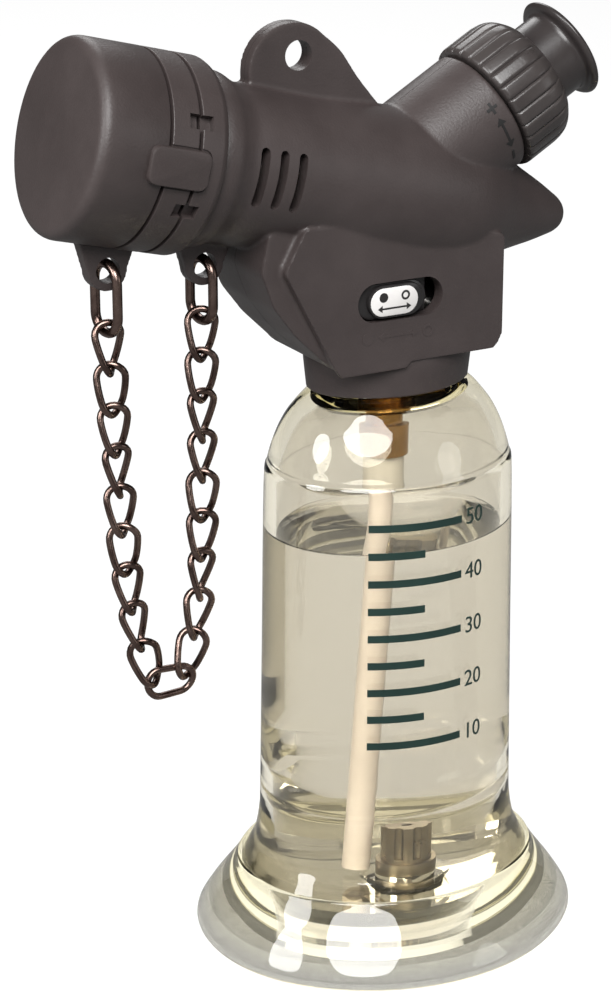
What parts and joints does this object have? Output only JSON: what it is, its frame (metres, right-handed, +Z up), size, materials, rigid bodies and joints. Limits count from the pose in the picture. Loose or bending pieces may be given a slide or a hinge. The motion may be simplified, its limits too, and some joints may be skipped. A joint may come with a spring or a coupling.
{
  "type": "butane torch",
  "caption": "Pocket butane torch: clear oval fuel tank on a flared foot, dark pistol head with tilted nozzle, push igniter, flame dial, lock slider and a chained nozzle cap.",
  "frame": {"origin": "centre of the foot's underside, on the tank's axis", "axes": "+Z up along the tank's axis; the nozzle points towards -X and up; the lock slider is on the -Y side; the head is parted along the XZ plane"},
  "size_m": [0.0936, 0.0562, 0.1499],
  "materials": {
    "tank_clear": "clear, faintly yellow moulded plastic",
    "foot_clear": "clear moulded plastic",
    "brass": "turned brass, slightly dull",
    "spring_steel": "bright spring wire",
    "seal_rubber": "matt black rubber",
    "steel": "plain steel",
    "grey_plastic": "grey translucent plastic",
    "tube_white": "milky flexible plastic tube",
    "head_plastic": "warm dark grey moulded plastic, fine satin grain",
    "ceramic_white": "white ceramic",
    "lead_red": "red wire insulation",
    "piezo_black": "black plastic case",
    "button_black": "black plastic, satin gloss",
    "dial_black": "black plastic, satin",
    "label_white": "white plate with plain black print",
    "print_green": "dark green printed ink",
    "chain_bronze": "dark antique bronze plating over steel wire"
  },
  "bodies": {
    "torch": {"tank_shell": "tank_clear", "level_scale": "print_green", "base_foot": "foot_clear", "tank_floor": "tank_clear", "filler_valve_body": "brass", "filler_seal": "seal_rubber", "outlet_valve_body": "brass", "neck_seal": "seal_rubber", "tube_sleeve": "grey_plastic", "dip_tube": "tube_white", "neck_collar": "head_plastic", "left_housing": "head_plastic", "right_housing": "head_plastic", "housing_screws": "steel", "rear_ring": "head_plastic", "burner_tube": "steel", "burner_holder": "ceramic_white", "flame_disc": "brass", "gas_jet": "brass", "gas_hose": "tube_white", "electrode_insulator": "ceramic_white", "spark_electrode": "steel", "electrode_lead": "lead_red", "piezo_unit": "piezo_black", "lever_pin": "steel", "filler_spring": "spring_steel", "button_spring": "spring_steel"},
    "filler": {"filler_stem": "brass"},
    "outlet": {"outlet_valve_stem": "steel"},
    "cap": {"nozzle_cap": "head_plastic", "front_ring": "head_plastic"},
    "button": {"ignition_button": "button_black", "piezo_plunger": "steel"},
    "dial": {"flame_dial": "dial_black"},
    "lever": {"valve_lever": "steel"},
    "lock": {"lock_slider": "dial_black", "lock_label": "label_white"},
    "cap_strand": {"cap_lug_ring": "chain_bronze", "cap_side_chain": "chain_bronze"},
    "head_strand": {"head_lug_ring": "chain_bronze", "head_side_chain": "chain_bronze"}
  },
  "joints": [
    {"name": "cap_pull", "type": "slide", "parent": "torch", "child": "cap", "axis": [-0.9703, 0, 0.2419], "range_m": [0, 0.02]},
    {"name": "cap_strand_swing", "type": "hinge", "parent": "cap", "child": "cap_strand", "pos_m": [-0.0481, 0, 0.11685], "axis": [0, 1, 0], "range_deg": [-2, 4]},
    {"name": "head_strand_swing", "type": "hinge", "parent": "torch", "child": "head_strand", "pos_m": [-0.0326, 0, 0.11565], "axis": [0, 1, 0], "range_deg": [-2, 22]},
    {"name": "button_press", "type": "slide", "parent": "torch", "child": "button", "axis": [-0.8647, 0, -0.5023], "range_m": [0, 0.005], "stiffness_N_per_m": 1500, "springref_m": -0.002, "deforming": ["button_spring"]},
    {"name": "valve_lever_pivot", "type": "hinge", "parent": "torch", "child": "lever", "pos_m": [0.005, 0, 0.1044], "axis": [0, 1, 0], "range_deg": [-0.5, 10]},
    {"name": "outlet_stem_lift", "type": "slide", "parent": "torch", "child": "outlet", "axis": [0, 0, 1], "range_m": [0, 0.001]},
    {"name": "dial_turn", "type": "hinge", "parent": "torch", "child": "dial", "pos_m": [0.01621, 0, 0.13302], "axis": [0.8647, 0, 0.5023], "range_deg": [-60, 210]},
    {"name": "lock_slide", "type": "slide", "parent": "torch", "child": "lock", "axis": [1, 0, 0], "range_m": [0, 0.0024]},
    {"name": "filler_press", "type": "slide", "parent": "torch", "child": "filler", "axis": [0, 0, 1], "range_m": [0, 0.0012], "stiffness_N_per_m": 400, "springref_m": -0.001, "deforming": ["filler_spring"]}
  ],
  "couplings": [
    {"joint": "cap_strand_swing", "follows": "cap_pull", "rad_per_m": 0.3},
    {"joint": "head_strand_swing", "follows": "cap_pull", "rad_per_m": 16.4},
    {"joint": "valve_lever_pivot", "follows": "button_press", "rad_per_m": 28},
    {"joint": "outlet_stem_lift", "follows": "button_press", "ratio": 0.16}
  ]
}
